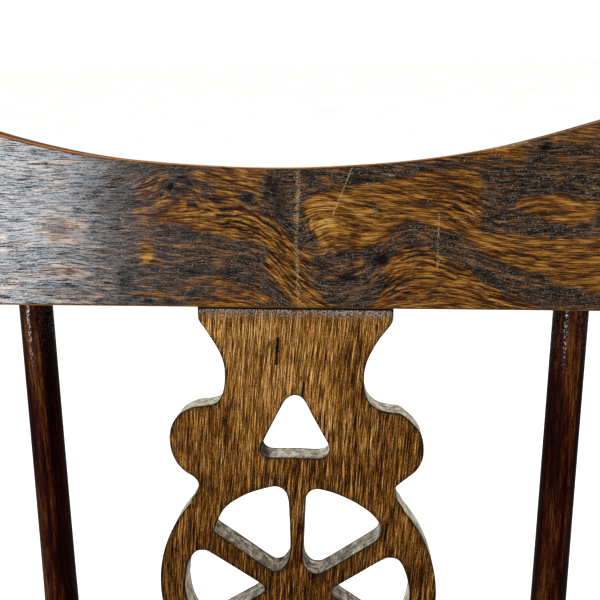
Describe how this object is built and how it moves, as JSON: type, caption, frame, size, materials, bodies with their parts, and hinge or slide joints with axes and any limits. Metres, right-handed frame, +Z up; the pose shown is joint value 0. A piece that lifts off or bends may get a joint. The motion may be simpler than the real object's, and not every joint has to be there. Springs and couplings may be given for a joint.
{
  "type": "spinner's chair",
  "caption": "Low wooden side chair with a splat pierced as a spinning wheel, plain turned back sticks, a hollowed crest rail and splayed turned legs.",
  "frame": {"origin": "on the floor, under the middle of the chair's box", "axes": "+Z up, the front of the chair faces -Y, +X is to the right of someone who faces the front; the chair is mirror-symmetric about the plane x = 0"},
  "size_m": [0.4096, 0.4214, 0.7711],
  "materials": {
    "elm_board": "dark stained elm with strong figure, old satin wax",
    "elm_splat": "stained straight-grained elm, satin face and dry grey sawn edges",
    "stained_turning": "dark mahogany-brown stain, semi-gloss",
    "wedge_oak": "end grain, waxed"
  },
  "bodies": {
    "root": {"seat": "elm_board", "crest_rail": "elm_board", "back_splat": "elm_splat", "left_back_stick": "stained_turning", "right_back_stick": "stained_turning", "front_left_leg": "stained_turning", "front_right_leg": "stained_turning", "rear_left_leg": "stained_turning", "rear_right_leg": "stained_turning", "left_side_stretcher": "stained_turning", "right_side_stretcher": "stained_turning", "cross_stretcher": "stained_turning", "front_left_leg_wedge": "wedge_oak", "front_right_leg_wedge": "wedge_oak", "rear_left_leg_wedge": "wedge_oak", "rear_right_leg_wedge": "wedge_oak", "left_stick_wedge": "wedge_oak", "right_stick_wedge": "wedge_oak", "left_crest_peg": "wedge_oak", "right_crest_peg": "wedge_oak"}
  },
  "joints": []
}
